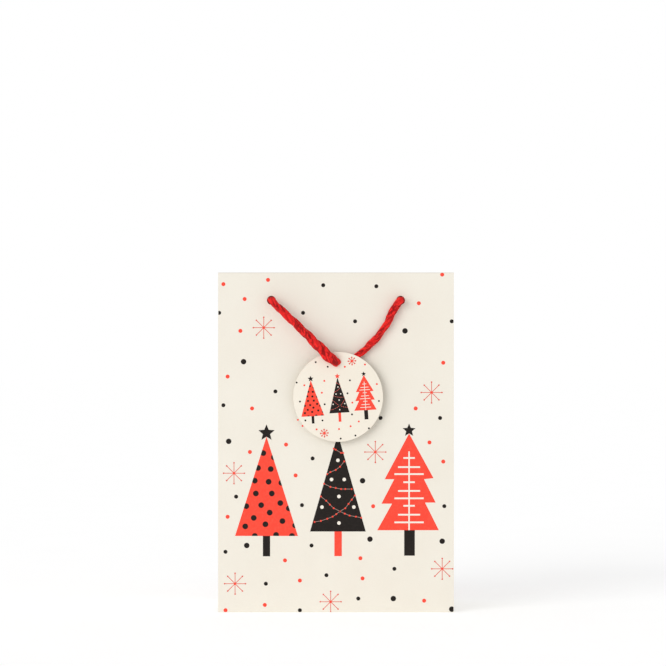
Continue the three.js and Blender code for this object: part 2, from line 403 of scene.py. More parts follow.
def set_stage():
    """A plain pale floor under soft light."""
    bpy.context.scene.view_settings.view_transform = "Standard"
    set_surround()
    set_key_light()
    floor = bmesh.new()
    bmesh.ops.create_circle(floor, cap_ends=True, segments=64, radius=FLOOR_RADIUS)
    # Matt white floor paint: plain, so that only the bag's soft shadow shows on it.
    floor_paint, tree, shader = start_material(
        "white_studio_floor",
        {
            "Roughness": 1.0, "Specular IOR Level": 0.0,
            "Emission Color": (1, 1, 1, 1), "Emission Strength": FLOOR_GLOW,
        },
    )
    place = add_node(tree, "ShaderNodeTexCoord").outputs["Object"]
    grain = add_node(
        tree, "ShaderNodeTexNoise", {"Scale": per_mm(FLOOR_GRAIN), "Detail": 2.0}, {"Vector": place}
    ).outputs["Fac"]
    colour = add_node(
        tree, "ShaderNodeMix", {"data_type": "RGBA", 6: linear("#fbfbfb"), 7: linear("#f8f8f8")},
        {0: grain},
    ).outputs[2]
    tree.links.new(colour, shader.inputs["Base Color"])
    finish_piece(floor, "floor", [floor_paint])


# ---------------------------------------------------------------- finishing a piece


def finish_piece(bm, name, materials, body=None, replaces=(), wall=0.0, smooth=False):
    """Turns a bmesh in millimetres into an object in metres.

    wall is a sheet's thickness, put behind its faces.
    """
    for face in bm.faces:
        face.smooth = smooth
    bm.transform(Matrix.Scale(MM, 4))
    mesh = bpy.data.meshes.new(name)
    bm.to_mesh(mesh)
    bm.free()
    for material in materials:
        mesh.materials.append(material)
    piece = bpy.data.objects.new(name, mesh)
    bpy.context.scene.collection.objects.link(piece)
    if wall:
        solidify = piece.modifiers.new("thickness", "SOLIDIFY")
        solidify.thickness = wall * MM
        solidify.offset = -1
        solidify.use_even_offset = True
        if len(materials) == 2:
            solidify.material_offset = 1
            solidify.material_offset_rim = 1
    if body:
        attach(piece, body)
    if replaces:
        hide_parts(*replaces)
    return piece


# ---------------------------------------------------------------- cords

ROPE_SIDES = 24
STRANDS = 3
LAY_LENGTH = 25.0
RING_STEP = 0.5
GROOVE_SHARE = 0.26
LUMPINESS = 0.16
LUMPS_PER_MM = 0.35
DOME_ANGLES = (88, 66, 44, 22)

# How thick each cord is along its length: share of the length, and radius over the strands.
FRONT_THICKNESS = [
    (0.0, 1.85), (0.1, 2.05), (0.2, 2.15), (0.28, 2.3), (0.36, 2.65), (0.42, 2.8), (0.47, 2.35),
    (0.515, 1.75), (0.56, 1.72), (0.66, 1.72), (0.71, 1.95), (0.8, 1.75), (0.9, 2.1), (1.0, 1.9),
]
BACK_THICKNESS = [(0.0, 1.85), (0.2, 2.1), (0.45, 1.8), (0.7, 2.15), (1.0, 1.85)]

# A stretch thicker than this is moved out, so that its inner side stays where the route has it.
FLUSH_RADIUS = CORD_RADIUS + 0.02

# The knotted ends: a stub through the hole, a trefoil behind the hem and a tail, all slimmer than the loop.
SLIM_THICKNESS = 1.4
KNOT_THICKNESS = 1.5
STUB_RADIUS = 1.35
STUB_STEP = 0.45
STUB_POINTS = 15
KNOT_CORD_RADIUS = 1.45
KNOT_TURNS = 60
KNOT_REACH = 0.66
KNOT_DEPTH = 3.55
KNOT_WAVE = 0.5
TAIL_RADIUS = 1.3
TAIL_DEPTH = 3.9
TAIL_POINTS = 9


def smooth_line(points, step):
    """Points about step apart on a centripetal Catmull-Rom curve through the given ones."""
    padded = [2 * points[0] - points[1], *points, 2 * points[-1] - points[-2]]
    line = []
    for a, b, c, d in zip(padded, padded[1:], padded[2:], padded[3:]):
        t0 = 0.0
        t1 = t0 + (b - a).length ** 0.5
        t2 = t1 + (c - b).length ** 0.5
        t3 = t2 + (d - c).length ** 0.5
        count = max(1, round((c - b).length / step))
        for i in range(count):
            t = t1 + (t2 - t1) * i / count
            ab = a.lerp(b, (t - t0) / (t1 - t0))
            bc = b.lerp(c, (t - t1) / (t2 - t1))
            cd = c.lerp(d, (t - t2) / (t3 - t2))
            abc = ab.lerp(bc, (t - t0) / (t2 - t0))
            bcd = bc.lerp(cd, (t - t1) / (t3 - t1))
            line.append(abc.lerp(bcd, (t - t1) / (t2 - t1)))
    line.append(points[-1].copy())
    return line


def rope_stations(line, radius):
    """Centre, directions, length so far and relative size of each ring, with a dome at both ends."""
    tangents = [(b - a).normalized() for a, b in zip(line, line[1:])]
    tangents.append(tangents[-1])
    side = tangents[0].orthogonal().normalized()
    dome = [math.radians(angle) for angle in DOME_ANGLES]
    stations = []
    for angle in dome:
        centre = line[0] - tangents[0] * radius * math.sin(angle)
        stations.append((centre, side, tangents[0], -radius * math.sin(angle), math.cos(angle)))
    along = 0.0
    for i, (centre, tangent) in enumerate(zip(line, tangents)):
        if i:
            side = tangents[i - 1].rotation_difference(tangent) @ side
            along += (centre - line[i - 1]).length
        stations.append((centre, side, tangent, along, 1.0))
    for angle in reversed(dome):
        centre = line[-1] + tangents[-1] * radius * math.sin(angle)
        stations.append((centre, side, tangents[-1], along + radius * math.sin(angle), math.cos(angle)))
    return stations


def thickness_at(share, profile):
    """The radius at that share of a cord's length, eased from one listed place to the next."""
    for (start, before), (end, after) in zip(profile, profile[1:]):
        if share <= end:
            part = (share - start) / (end - start)
            return before + (after - before) * part * part * (3 - 2 * part)
    return profile[-1][1]


def sweep_rope(bm, line, radii, radius=CORD_RADIUS):
    """Lays a three-strand rope along a line: a lobed ring is extruded along it, turning as it goes.

    radii says how thick it is over its strands, and radius sizes its domed ends and its texture.
    """
    around = bm.verts.layers.float.get("around") or bm.verts.layers.float.new("around")
    length = bm.verts.layers.float.get("length") or bm.verts.layers.float.new("length")
    groove_shade = bm.verts.layers.float.get("groove_shade") or bm.verts.layers.float.new("groove_shade")
    ring = bmesh.ops.create_circle(bm, segments=ROPE_SIDES, radius=1)["verts"]
    for i, vertex in enumerate(ring):
        vertex[around] = 2 * math.pi * i / ROPE_SIDES
    edges = list({edge for vertex in ring for edge in vertex.link_edges})
    first_ring = ring
    faces = []
    stations = rope_stations(line, radius)
    total = stations[-1][3]
    for number, (centre, side, tangent, along, size) in enumerate(stations):
        if number:
            made = bmesh.ops.extrude_edge_only(bm, edges=edges)["geom"]
            ring = [g for g in made if isinstance(g, bmesh.types.BMVert)]
            faces += [g for g in made if isinstance(g, bmesh.types.BMFace)]
            new = set(ring)
            edges = [
                g for g in made
                if isinstance(g, bmesh.types.BMEdge) and g.verts[0] in new and g.verts[1] in new
            ]
        up = tangent.cross(side)
        full = thickness_at(min(max(along / total, 0.0), 1.0), radii)
        for vertex in ring:
            across = (vertex[around] * STRANDS) % (2 * math.pi) - math.pi
            depth = 1 - math.cos(across / 2)
            turn = vertex[around] + 2 * math.pi * along / LAY_LENGTH
            place = Vector((along * LUMPS_PER_MM, math.sin(vertex[around]), math.cos(vertex[around])))
            lump = 1 - LUMPINESS * abs(noise.noise(place))
            reach = full * size * lump * (1 - GROOVE_SHARE * depth)
            vertex.co = centre + reach * (math.cos(turn) * side + math.sin(turn) * up)
            vertex[length] = along
            # Painted shade: how deep the ring lies in a groove between strands, kept to darken the rope's
            # colour there.
            vertex[groove_shade] = depth ** 2
    for end in (first_ring, ring):
        bmesh.ops.contextual_create(bm, geom=end)
    wrap_rope(bm, faces, around, length, radius)


def wrap_rope(bm, faces, around, length, radius):
    """Gives the rope a UV map in millimetres: round it, then along it."""
    uv = bm.loops.layers.uv.get("UVMap") or bm.loops.layers.uv.new("UVMap")
    for face in faces:
        angles = [loop.vert[around] for loop in face.loops]
        crosses_seam = max(angles) - min(angles) > math.pi
        for loop, angle in zip(face.loops, angles):
            if crosses_seam and angle < math.pi:
                angle += 2 * math.pi
            loop[uv].uv = (angle * radius, loop.vert[length])


def outside_point(side, point):
    """A route point in the row frame: side is -1 for the front and 1 for the back."""
    x, standoff, z = point
    return Vector((x, side * (HALF_DEPTH + standoff), z))


def handle(name, route, side, body, node, radii):
    """One handle's hanging loop, from hole to hole. Its thick parts stand out from the bag."""
    points = [outside_point(side, point) for point in route]
    line = smooth_line(points, RING_STEP)
    for i, point in enumerate(line):
        radius = thickness_at(i / (len(line) - 1), radii)
        point.y += side * max(0.0, radius - FLUSH_RADIUS)
    bm = bmesh.new()
    sweep_rope(bm, line, radii)
    bmesh.ops.recalc_face_normals(bm, faces=bm.faces)
    piece = finish_piece(bm, name, [ROPE], body, [node], smooth=True)
    path = [point * MM for point in line]
    return piece, path


def even(radius):
    """The same thickness all the way."""
    return [(0.0, radius), (1.0, radius)]


def knotted_end(name, x, side, body, node):
    """A cord's end behind the hem: overhand knot, short tail, and a straight stub out through the hole."""
    inward = -side
    foot = Vector((x, side * HALF_DEPTH, HOLE_Z))

    def inside_point(across, depth, up):
        return foot + Vector((across, inward * depth, up))

    bm = bmesh.new()
    stub = [inside_point(0, -PIVOT_STANDOFF + STUB_STEP * i, 0) for i in range(STUB_POINTS)]
    sweep_rope(bm, stub, even(SLIM_THICKNESS), STUB_RADIUS)
    knot = []
    for i in range(KNOT_TURNS + 1):
        t = 2 * math.pi * i / KNOT_TURNS
        across = KNOT_REACH * (math.sin(t) + 2 * math.sin(2 * t))
        up = KNOT_REACH * (math.cos(t) - 2 * math.cos(2 * t))
        knot.append(inside_point(across, KNOT_DEPTH - KNOT_WAVE * math.sin(3 * t), up))
    sweep_rope(bm, knot, even(KNOT_THICKNESS), KNOT_CORD_RADIUS)
    tail = [inside_point(0.5 + 0.1 * i, TAIL_DEPTH, -1.5 - 0.5 * i) for i in range(TAIL_POINTS)]
    sweep_rope(bm, tail, even(SLIM_THICKNESS), TAIL_RADIUS)
    bmesh.ops.recalc_face_normals(bm, faces=bm.faces)
    return finish_piece(bm, name, [ROPE], body, [node], smooth=True)


# ---------------------------------------------------------------- the paper

GRID = 6.0
GRID_LINES_EACH_WAY = 10
GRID_LINES_UP = 27
HOLE_SIDES = 28
FRONT_BOW = 0.8
BACK_BOW = 0.3
BOW_TOP = 125.0
PINCH = 1.4
PINCH_FOOT = 60.0
CREASE_DEPTH = 0.2
CREASE_HALF_WIDTH = 1.0
GUSSET_HALF_SPAN = HALF_DEPTH - PAPER
BACK_CREASE_Z = 30.0
SHEET_GAP = 0.05
FOLD_STEPS = 6

# A wall: its name, turn about the upright axis, distance of its printed face from the middle, half width,
# lowest edge, depth of its folded top, half width of its hem, and how it departs from flat.
Wall = namedtuple("Wall", "name turn reach half_span low hem_depth hem_half_span bulge")


def crease(distance):
    """How far a pressed crease sinks at that distance from its line."""
    return CREASE_DEPTH * max(0.0, 1 - abs(distance) / CREASE_HALF_WIDTH)


def bow(u, z, most):
    """The filled-out curve of a wall: outwards in the middle, flat under the cords."""
    if z >= BOW_TOP:
        return 0.0
    return most * (1 - (u / HALF_WIDTH) ** 2) * math.sin(math.pi * z / BOW_TOP) ** 2


def front_bulge(u, z):
    """The front bows out a little."""
    return bow(u, z, FRONT_BOW)


def back_bulge(u, z):
    """The back is flatter, with the crease that the bag is folded flat along."""
    return bow(u, z, BACK_BOW) - crease(z - BACK_CREASE_Z)


def gusset_bulge(u, z):
    """A gusset: drawn in along its centre crease near the top, with the bottom's slanting creases."""
    share = min(max((z - PINCH_FOOT) / (HEIGHT - PINCH_FOOT), 0.0), 1.0)
    pinch = PINCH * share * share * (3 - 2 * share) * (1 - abs(u) / HALF_DEPTH) ** 2
    slant = (abs(u) + z - HALF_DEPTH) / math.sqrt(2)
    return -pinch - max(crease(u), crease(slant))


FRONT_HEM_DEPTH = FRONT_HEM_HIGH.y + HALF_DEPTH
GUSSET_HEM_DEPTH = HALF_WIDTH - GUSSET_HEM_LOW.x
SHEET_LOW = BACK_LOW.z - SHEET_GAP
FRONT = Wall("front", 0, HALF_DEPTH, HALF_WIDTH, 0.0, FRONT_HEM_DEPTH, FRONT_HEM_HIGH.x, front_bulge)
BACK = Wall("back", 180, HALF_DEPTH, HALF_WIDTH, SHEET_LOW, FRONT_HEM_DEPTH, FRONT_HEM_HIGH.x, back_bulge)
RIGHT = Wall(
    "right_gusset", 90, HALF_WIDTH, GUSSET_HALF_SPAN, SHEET_LOW, GUSSET_HEM_DEPTH, GUSSET_HEM_HIGH.y,
    gusset_bulge,
)
LEFT = RIGHT._replace(name="left_gusset", turn=270)


def fold_start(wall):
    """How far up the flat sheet the top fold begins."""
    return HEIGHT - wall.hem_depth / 2


def fold_length(wall):
    """How much of the flat sheet the top fold takes up."""
    return math.pi * wall.hem_depth / 2


def sheet_end(wall):
    """How far up the flat sheet the hem's free edge is."""
    return fold_start(wall) + fold_length(wall) + HEM_HEIGHT - wall.hem_depth / 2


def hem_hole(wall):
    """How far up the flat sheet a cord's hole is in the hem, which lies behind the one in the wall."""
    return fold_start(wall) + fold_length(wall) + fold_start(wall) - HOLE_Z


def on_wall(wall, flat):
    """Where a point of the flat sheet lies on the made bag. flat is across, up and off the printed face."""
    u, s, lift = flat
    radius = wall.hem_depth / 2
    past_fold = s - fold_start(wall)
    angle = past_fold / radius
    if angle <= 0:
        depth = -lift
        z = s
    elif angle < math.pi:
        depth = radius - (radius + lift) * math.cos(angle)
        z = fold_start(wall) + (radius + lift) * math.sin(angle)
    else:
        depth = 2 * radius + lift
        z = fold_start(wall) - (past_fold - fold_length(wall))
    place = Vector((u, depth - wall.reach - wall.bulge(u, z), z))
    return Matrix.Rotation(math.radians(wall.turn), 3, "Z") @ place


def cut(bm, place, normal, clear=False):
    """Cuts the flat work along a line. With clear, what lies on the normal's side is removed."""
    bmesh.ops.bisect_plane(
        bm, geom=bm.verts[:] + bm.edges[:] + bm.faces[:], dist=1e-5,
        plane_co=(*place, 0), plane_no=(*normal, 0), clear_outer=clear,
    )


def cut_for_bending(bm, wall):
    """Cuts flat work finely enough to follow the wall's curve, its creases and its top fold."""
    bmesh.ops.triangulate(bm, faces=[face for face in bm.faces if len(face.verts) > 4])
    lines = range(-GRID_LINES_EACH_WAY, GRID_LINES_EACH_WAY + 1)
    across = [GRID * i for i in lines if GRID * abs(i) < wall.half_span]
    up = [GRID * i for i in range(1, GRID_LINES_UP) if GRID * i < fold_start(wall) - 1]
    up += [fold_start(wall) + fold_length(wall) * i / FOLD_STEPS for i in range(FOLD_STEPS + 1)]
    if wall.bulge is gusset_bulge:
        across += [-CREASE_HALF_WIDTH, CREASE_HALF_WIDTH]
        for edge in (-1, 0, 1):
            rise = HALF_DEPTH + edge * CREASE_HALF_WIDTH * math.sqrt(2)
            cut(bm, (0, rise), (1, 1))
            cut(bm, (0, rise), (-1, 1))
    if wall.bulge is back_bulge:
        up += [BACK_CREASE_Z - CREASE_HALF_WIDTH, BACK_CREASE_Z + CREASE_HALF_WIDTH]
    for u in across:
        cut(bm, (u, 0), (1, 0))
    for s in up:
        cut(bm, (0, s), (0, 1))


def lay_on(bm, wall):
    """Bends flat work onto its wall, printed face outwards."""
    for vertex in bm.verts:
        vertex.co = on_wall(wall, vertex.co)


def loop_of(bm, points):
    """Joins points into a closed loop of edges on the flat sheet."""
    corners = [bm.verts.new((*point, 0)) for point in points]
    for a, b in zip(corners, corners[1:] + corners[:1]):
        bm.edges.new((a, b))
    return corners


def paper_wall(wall, replaced):
    """One wall and its turned-in hem as a single creased sheet, cream outside and bare inside."""
    bm = bmesh.new()
    crest = fold_start(wall) + fold_length(wall) / 2
    half, hem_half, end = wall.half_span, wall.hem_half_span, sheet_end(wall)
    loop_of(bm, [
        (-half, wall.low), (half, wall.low), (half, crest), (hem_half, crest),
        (hem_half, end), (-hem_half, end), (-hem_half, crest), (-half, crest),
    ])
    if wall.reach == HALF_DEPTH:
        for u in (-HOLE_X, HOLE_X):
            for s in (HOLE_Z, hem_hole(wall)):
                place = Matrix.Translation((u, s, 0))
                bmesh.ops.create_circle(bm, segments=HOLE_SIDES, radius=HOLE_RADIUS, matrix=place)
    bmesh.ops.triangle_fill(bm, use_beauty=True, use_dissolve=False, edges=bm.edges[:])
    bm.normal_update()
    bmesh.ops.reverse_faces(bm, faces=[face for face in bm.faces if face.normal.z < 0])
    cut_for_bending(bm, wall)
    lay_on(bm, wall)
    body = None if wall.reach == HALF_WIDTH else wall.name
    sheet = finish_piece(
        bm, f"{wall.name}_paper", [CREAM_PAPER, BARE_PAPER], body, replaced, wall=PAPER
    )
    if body is None:
        bend_at_centre(sheet)
    return sheet


def bend_at_centre(piece):
    """Bakes a gusset piece's placement into its mesh."""
    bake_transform(piece)


def glue_flap():
    """The strip along the sheet's free edge, stuck inside the back half of the left gusset."""
    bm = bmesh.new()
    under = -PAPER - SHEET_GAP
    near, far = -GLUE_HIGH.y, -GLUE_LOW.y
    corners = [(near, GLUE_LOW.z), (far, GLUE_LOW.z), (far, GLUE_HIGH.z), (near, GLUE_HIGH.z)]
    bmesh.ops.contextual_create(bm, geom=[bm.verts.new((*corner, under)) for corner in corners])
    bm.normal_update()
    bmesh.ops.reverse_faces(bm, faces=[face for face in bm.faces if face.normal.z < 0])
    cut_for_bending(bm, LEFT)
    lay_on(bm, LEFT)
    finish_piece(
        bm, "glue_flap", [CREAM_PAPER, BARE_PAPER], "left_gusset_back", ["side_glue_flap"],
        wall=PAPER,
    )


# ---------------------------------------------------------------- the bottom

# The bottom's edges, each just inside the wall that it meets, and how its corners are cut and rounded.
RIM_TOP = SHEET_LOW - SHEET_GAP
SIDE_RIM = HALF_WIDTH - 0.6
BACK_RIM = HALF_DEPTH - 0.1
FRONT_RIM = -HALF_DEPTH + PAPER + SHEET_GAP
MITRE = 27.0
RIM_ROUNDING = 0.35
SIDE_FLAP_EASE = 0.4


def bottom_flap(name, corners, level, node, rim=True):
    """A flap of the bottom. Its root, from the first corner to the last, turns up to meet the wall."""
    bm = bmesh.new()
    verts = [bm.verts.new((*corner, level)) for corner in corners]
    bmesh.ops.contextual_create(bm, geom=verts)
    bm.normal_update()
    bmesh.ops.reverse_faces(bm, faces=[face for face in bm.faces if face.normal.z > 0])
    if rim:
        root = next(e for e in bm.edges if verts[0] in e.verts and verts[-1] in e.verts)
        made = bmesh.ops.extrude_edge_only(bm, edges=[root])["geom"]
        raised = [g for g in made if isinstance(g, bmesh.types.BMVert)]
        bmesh.ops.translate(bm, verts=raised, vec=(0, 0, RIM_TOP - level))
        bmesh.ops.bevel(
            bm, geom=[root], offset=RIM_ROUNDING, segments=3, profile=0.5, material=-1, affect="EDGES"
        )
    finish_piece(bm, name, [CREAM_PAPER, BARE_PAPER], "base", [node], wall=PAPER)


def bottom():
    """The glued block bottom: two side flaps, and the two long flaps folded over them."""
    reach = BASE_HIGH.y - BASE_LOW.y
    step = PAPER + SHEET_GAP
    end = SIDE_RIM - MITRE
    for sign, name, edge, level in ((1, "outer", FRONT_RIM, 0.0), (-1, "inner", BACK_RIM, step)):
        corners = [
            (-SIDE_RIM, edge), (-end, edge + sign * MITRE), (-end, edge + sign * reach),
            (end, edge + sign * reach), (end, edge + sign * MITRE), (SIDE_RIM, edge),
        ]
        bottom_flap(f"bottom_{name}_flap", corners, level, f"base_{name}_flap", rim=name == "inner")
    for sign, name in ((-1, "left"), (1, "right")):
        corners = [
            (sign * SIDE_RIM, FRONT_RIM), (sign * end, FRONT_RIM + MITRE),
            (sign * end, BACK_RIM - MITRE), (sign * SIDE_RIM, BACK_RIM - SIDE_FLAP_EASE),
        ]
        bottom_flap(f"bottom_{name}_flap", corners, 2 * step, f"base_{name}_flap")


# ---------------------------------------------------------------- the print

INK_LIFT = 0.02
INK_THICKNESS = 0.015
DOT_SIDES = 16
STAR_WAIST = 0.45
SNOW_LINE = 0.3
CORNER_MARGIN = 0.8
EDGE_MARGIN = 0.15


def ink_faces(bm, verts, ink, layer):
    """Fills a loop of edges with ink on that layer of the print."""
    edges = {edge for vertex in verts for edge in vertex.link_edges}
    faces = bmesh.ops.contextual_create(bm, geom=list(edges))["faces"]
    for face in faces:
        face.normal_update()
        if face.normal.z < 0:
            face.normal_flip()
        face.material_index = ink
    for vertex in verts:
        vertex.co.z = INK_LIFT * (1 + layer)


def shape(bm, points, ink, layer=0):
    """A printed shape with straight sides."""
    ink_faces(bm, loop_of(bm, points), ink, layer)


def dot(bm, place, radius, ink, layer=0):
    """A printed round dot."""
    verts = bmesh.ops.create_circle(
        bm, segments=DOT_SIDES, radius=radius, matrix=Matrix.Translation((*place, 0))
    )["verts"]
    ink_faces(bm, verts, ink, layer)


def star(bm, place, radius, ink, layer=0):
    """A five-pointed star, one point up."""
    points = []
    for i in range(10):
        reach = radius if i % 2 == 0 else radius * STAR_WAIST
        angle = math.pi / 2 + math.pi * i / 5
        points.append((place[0] + reach * math.cos(angle), place[1] + reach * math.sin(angle)))
    shape(bm, points, ink, layer)


def stroke(bm, start, end, width, ink, layer=0):
    """A straight printed line."""
    along = (Vector(end) - Vector(start)).normalized()
    half = Vector((-along.y, along.x)) * width / 2
    points = [Vector(start) - half, Vector(end) - half, Vector(end) + half, Vector(start) + half]
    shape(bm, points, ink, layer)


def snowflake(bm, place, radius):
    """Four crossed lines with a dot on each of the eight ends."""
    dot(bm, place, SNOW_LINE * 2, RED, 1)
    for i in range(8):
        angle = math.pi * i / 4
        tip = (place[0] + radius * math.cos(angle), place[1] + radius * math.sin(angle))
        stroke(bm, place, tip, SNOW_LINE, DEEP_RED, 0)
        dot(bm, tip, SNOW_LINE * 1.2, DEEP_RED, 1)


def placed(place, scale, points):
    """Points given about a motif's own foot, put where the motif is printed."""
    return [(place[0] + scale * x, place[1] + scale * y) for x, y in points]


# Motifs in millimetres about the middle of each tree's foot. A spine bar is its height and half length.
TREE_DOTS = [
    (-1.5, 39), (3.5, 37), (-4, 32), (2, 31.5), (-5.5, 26), (1, 25.5), (7, 25), (-5, 20), (2.5, 20),
    (-9.5, 14), (-2.5, 14.5), (6.5, 15.5), (10.5, 13), (1.5, 11), (-6, 8.5), (-10, 4.5), (-0.5, 5.5),
    (7.5, 7), (13.5, 5), (4.5, 0.5), (-5.5, 0), (12, 0),
]
TREE_LIGHTS = [(0, 33.5), (-3, 24.5), (3, 24.5), (0.5, 16.5), (-7.5, 11.5), (7.5, 11.5), (0.5, 4)]
GARLANDS = [
    [(-2, 39), (-1, 38.5), (1.5, 37), (2.5, 37)],
    [(-5, 27), (-3.5, 28), (-1, 29), (1, 30.5), (3, 33)],
    [(-6.5, 22.5), (-3.5, 21), (-1, 20.5), (1.5, 20), (3.5, 20), (6.5, 20)],
    [(-8, 16.5), (-5.5, 14.5), (-2, 11), (1, 9.5), (5.5, 7.5), (8.5, 7), (11, 6.5)],
    [(8, 17), (6.5, 15), (5, 13), (3.5, 11), (1, 9.5), (-2.5, 7), (-5, 6), (-8, 5), (-11, 4.5)],
]
TIERS = [
    (0, 45.5), (11.5, 24.5), (7, 24), (12.5, 13), (7.5, 13), (14, 0),
    (-15, 0), (-8, 12.5), (-13, 12.5), (-7, 24), (-11.5, 24),
]
BEAD_STEP = 2.4
SPINE_BARS = [
    (34, 2.7), (29.7, 5.2), (26.4, 6.9), (22.6, 2.7), (18.5, 5.2), (15, 6.9), (11.5, 2.7), (7.3, 5.2),
    (3.7, 6.9),
]


def spotted_tree(bm, place, scale=1.0):
    """A red cone tree with black dots that its sides cut off, on a black trunk under a black star."""
    half, tall = 14.8, 46.7
    shape(bm, placed(place, scale, [(-half, 0), (half, 0), (0, tall)]), RED)
    shape(bm, placed(place, scale, [(-1.7, -9.6), (1.7, -9.6), (1.7, 0), (-1.7, 0)]), BLACK)
    star(bm, placed(place, scale, [(0, 48.5)])[0], 4.0 * scale, BLACK, 1)
    spots = bmesh.new()
    for spot in placed(place, scale, TREE_DOTS):
        dot(spots, spot, 1.35 * scale, BLACK, 1)
    foot, left, right = placed(place, scale, [(0, 0), (-half, 0), (half, 0)])
    cut(spots, foot, (0, -1), clear=True)
    cut(spots, left, (-tall, half), clear=True)
    cut(spots, right, (tall, half), clear=True)
    add_work(bm, spots)


def garland_tree(bm, place, scale=1.0):
    """A black cone tree with beaded garlands and pale lights, on a red trunk under a red star."""
    shape(bm, placed(place, scale, [(-13.1, 0), (13.1, 0), (0, 45.9)]), BLACK)
    shape(bm, placed(place, scale, [(-1.65, -11.6), (1.85, -11.6), (1.85, 0), (-1.65, 0)]), RED)
    star(bm, placed(place, scale, [(0, 47.5)])[0], 3.6 * scale, RED, 1)
    for light in placed(place, scale, TREE_LIGHTS):
        dot(bm, light, 0.85 * scale, WHITE, 1)
    for garland in GARLANDS:
        line = [Vector((*point, 0)) for point in placed(place, scale, garland)]
        beads = [point.xy for point in smooth_line(line, BEAD_STEP * scale)]
        for start, end in zip(beads, beads[1:]):
            stroke(bm, start, end, 0.25 * scale, PINK, 1)
        for bead in beads:
            dot(bm, bead, 0.43 * scale, RED, 2)


def tiered_tree(bm, place, scale=1.0):
    """A red tree of three tiers with a white spine and bars, on a black trunk under a black star."""
    shape(bm, placed(place, scale, TIERS), RED)
    shape(bm, placed(place, scale, [(-2.3, -12), (2.7, -12), (2.7, 0), (-2.3, 0)]), BLACK)
    star(bm, placed(place, scale, [(0, 47)])[0], 3.2 * scale, BLACK, 1)
    foot, top = placed(place, scale, [(0, 0), (0, 37.1)])
    stroke(bm, foot, top, 0.7 * scale, WHITE, 1)
    for rise, half in SPINE_BARS:
        left, right = placed(place, scale, [(-half, rise), (half, rise)])
        stroke(bm, left, right, 0.8 * scale, WHITE, 2)


def add_work(bm, other):
    """Moves another bmesh's work into bm."""
    mesh = bpy.data.meshes.new("work")
    other.to_mesh(mesh)
    other.free()
    bm.from_mesh(mesh)
    bpy.data.meshes.remove(mesh)


SMALL_DOT = 0.95
LARGE_DOT = 1.3
SNOWFLAKE = 4.9
SNOWFLAKE_EVERY = 9
CLEAR_SPACE = 3.5
TRIES = 60
HEM_PRINT_START = 7
HEM_PRINT_MARGIN = 1
GUSSET_PRINT_MARGIN = 2
FACE_HEM_MOTIFS = 22
GUSSET_MOTIFS = 36
GUSSET_HEM_MOTIFS = 10

# The dots and snowflakes of the picture, across from the middle and up from the bottom edge.
RED_DOTS = [
    (-53, 154.5), (-32, 156.5), (-43, 147.5), (-45, 132.5), (-51, 111), (-39.5, 96), (-23.5, 79),
    (50, 159), (39, 145.5), (50.5, 117.5), (37.5, 96), (44, 80), (-40.5, 75.5), (-19, 64.5), (-51, 45),
    (-24, 24.5), (-17, 15), (-33.5, 3.5), (-52, 1), (11.5, 25.5), (12.5, 16), (17.5, 50), (41.5, 5.5),
    (50.5, 71),
]
BLACK_DOTS = [
    (-55, 141), (-6, 154), (19, 153.5), (-15.5, 141), (9, 137), (54.5, 137), (-28.5, 104), (-53, 97.5),
    (21, 91.5), (49, 91.5), (-47, 54.5), (-52, 28.5), (-33, 13.5), (-17, 1), (-4.5, 17.5), (-11.5, 31.5),
    (-11, 72.5), (-16, 50.5), (10.5, 6.5), (27.5, 20.5), (51, 50),
]
LARGE_BLACK_DOTS = [
    (32.5, 132.5), (-43.5, 118), (-50.5, 80.5), (-42, 31.5), (12.5, 62), (16, 34.5), (50, 33.5),
    (27, 6.5), (54.5, 1.5),
]
SNOWFLAKES = [(-34, 134), (45, 103.5), (-48, 65.5), (18.5, 75.5), (-47.5, 13.5), (-2.5, 5), (50, 20.5)]


def picture(bm):
    """The picture on the front and the back: three trees among dots and snowflakes."""
    spotted_tree(bm, (-32.7, 36.0))
    garland_tree(bm, (0.9, 38.1))
    tiered_tree(bm, (34.4, 38.7))
    for places, radius, ink in (
        (RED_DOTS, SMALL_DOT, RED), (BLACK_DOTS, SMALL_DOT, BLACK), (LARGE_BLACK_DOTS, LARGE_DOT, BLACK)
    ):
        for place in places:
            dot(bm, place, radius, ink)
    for place in SNOWFLAKES:
        snowflake(bm, place, SNOWFLAKE)


def scatter(bm, rng, low, high, taken, count):
    """Sprinkles dots and snowflakes over a plain area, clear of each other and of what is taken."""
    for number in range(count):
        if number % SNOWFLAKE_EVERY == 0:
            radius = SNOWFLAKE
        else:
            radius = rng.choice([SMALL_DOT, SMALL_DOT, LARGE_DOT])
        for _ in range(TRIES):
            place = (rng.uniform(low[0], high[0]), rng.uniform(low[1], high[1]))
            if all(math.dist(place, other) > radius + gap + CLEAR_SPACE for other, gap in taken):
                break
        else:
            continue
        taken.append((place, radius))
        if radius == SNOWFLAKE:
            snowflake(bm, place, radius)
        else:
            dot(bm, place, radius, BLACK if radius == LARGE_DOT else rng.choice([RED, BLACK]))


